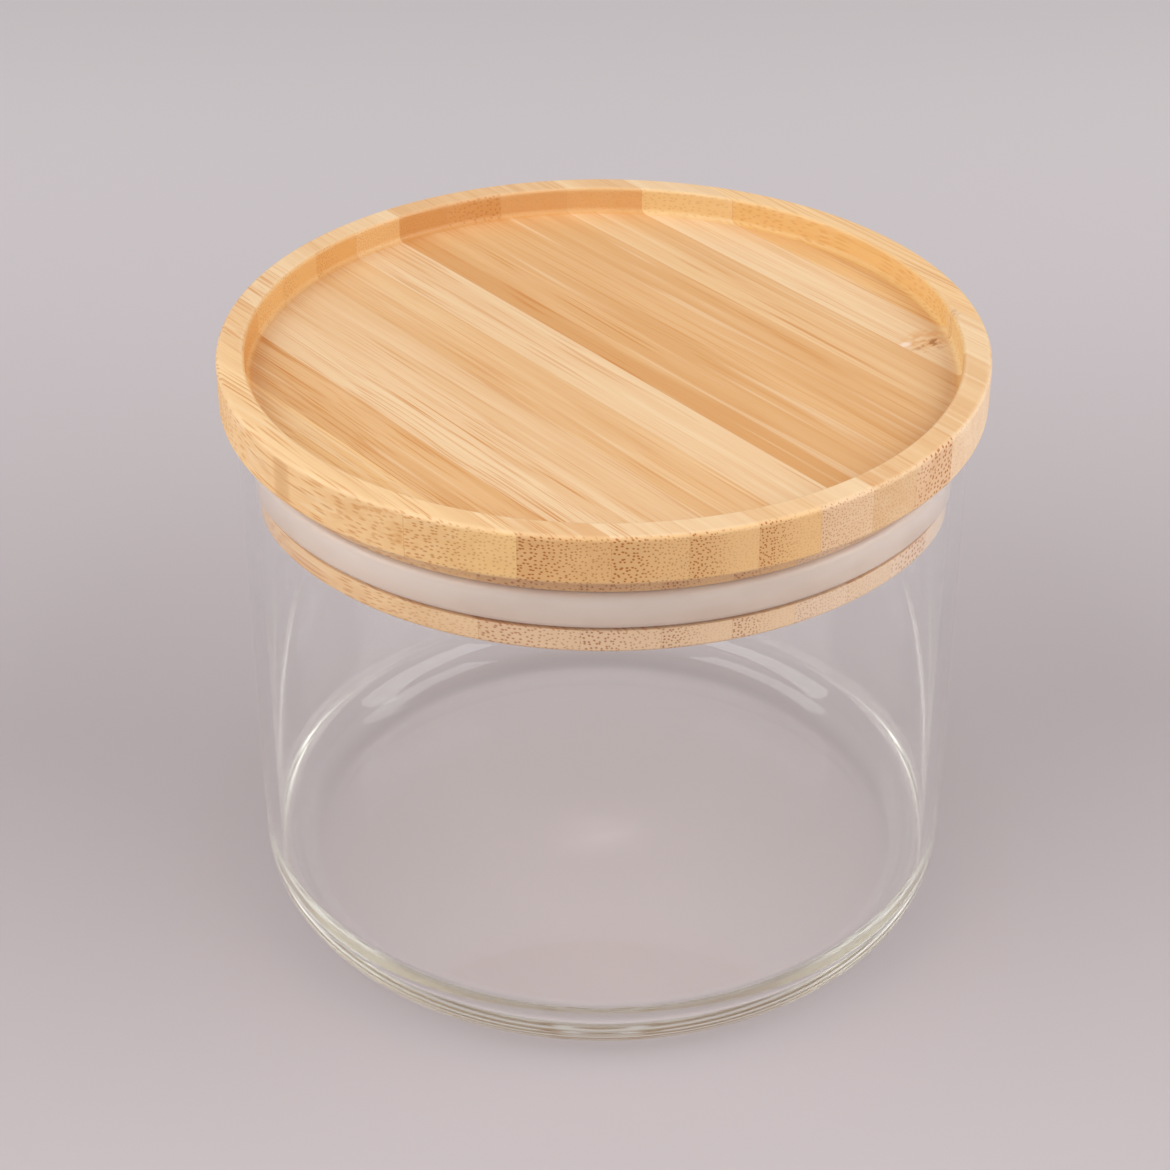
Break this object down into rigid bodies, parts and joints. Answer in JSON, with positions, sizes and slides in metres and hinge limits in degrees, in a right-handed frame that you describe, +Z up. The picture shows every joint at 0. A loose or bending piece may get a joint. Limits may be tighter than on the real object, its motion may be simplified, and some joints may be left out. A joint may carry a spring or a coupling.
{
  "type": "glass storage jar",
  "caption": "Clear straight-sided glass storage jar with a turned laminated bamboo lid, a silicone sealing ring and a recessed lid top.",
  "frame": {"origin": "centre of the jar's base, on the surface it stands on", "axes": "+Z up along the jar's axis; the lid's bamboo strips run along Y, so its glue lines are planes across X"},
  "size_m": [0.1, 0.1, 0.0825],
  "materials": {
    "clear_glass": "clear, polished",
    "silicone": "milky, satin",
    "bamboo_pale": "sanded, oiled satin",
    "bamboo_honey": "sanded, oiled satin",
    "bamboo_tan": "sanded, oiled satin"
  },
  "bodies": {
    "jar": {"glass_jar": "clear_glass"},
    "lid": {"lid_strip_01": "bamboo_pale", "lid_strip_02": "bamboo_honey", "lid_strip_03": "bamboo_tan", "lid_strip_04": "bamboo_pale", "lid_strip_05": "bamboo_honey", "lid_strip_06": "bamboo_honey", "lid_strip_07": "bamboo_pale", "lid_strip_08": "bamboo_tan", "lid_strip_09": "bamboo_tan", "lid_strip_10": "bamboo_tan", "lid_strip_11": "bamboo_honey", "lid_strip_12": "bamboo_pale", "lid_strip_13": "bamboo_honey", "seal_ring": "silicone"}
  },
  "joints": [
    {"name": "lid_lift", "type": "slide", "parent": "jar", "child": "lid", "axis": [0, 0, 1], "range_m": [0, 0.06]}
  ]
}
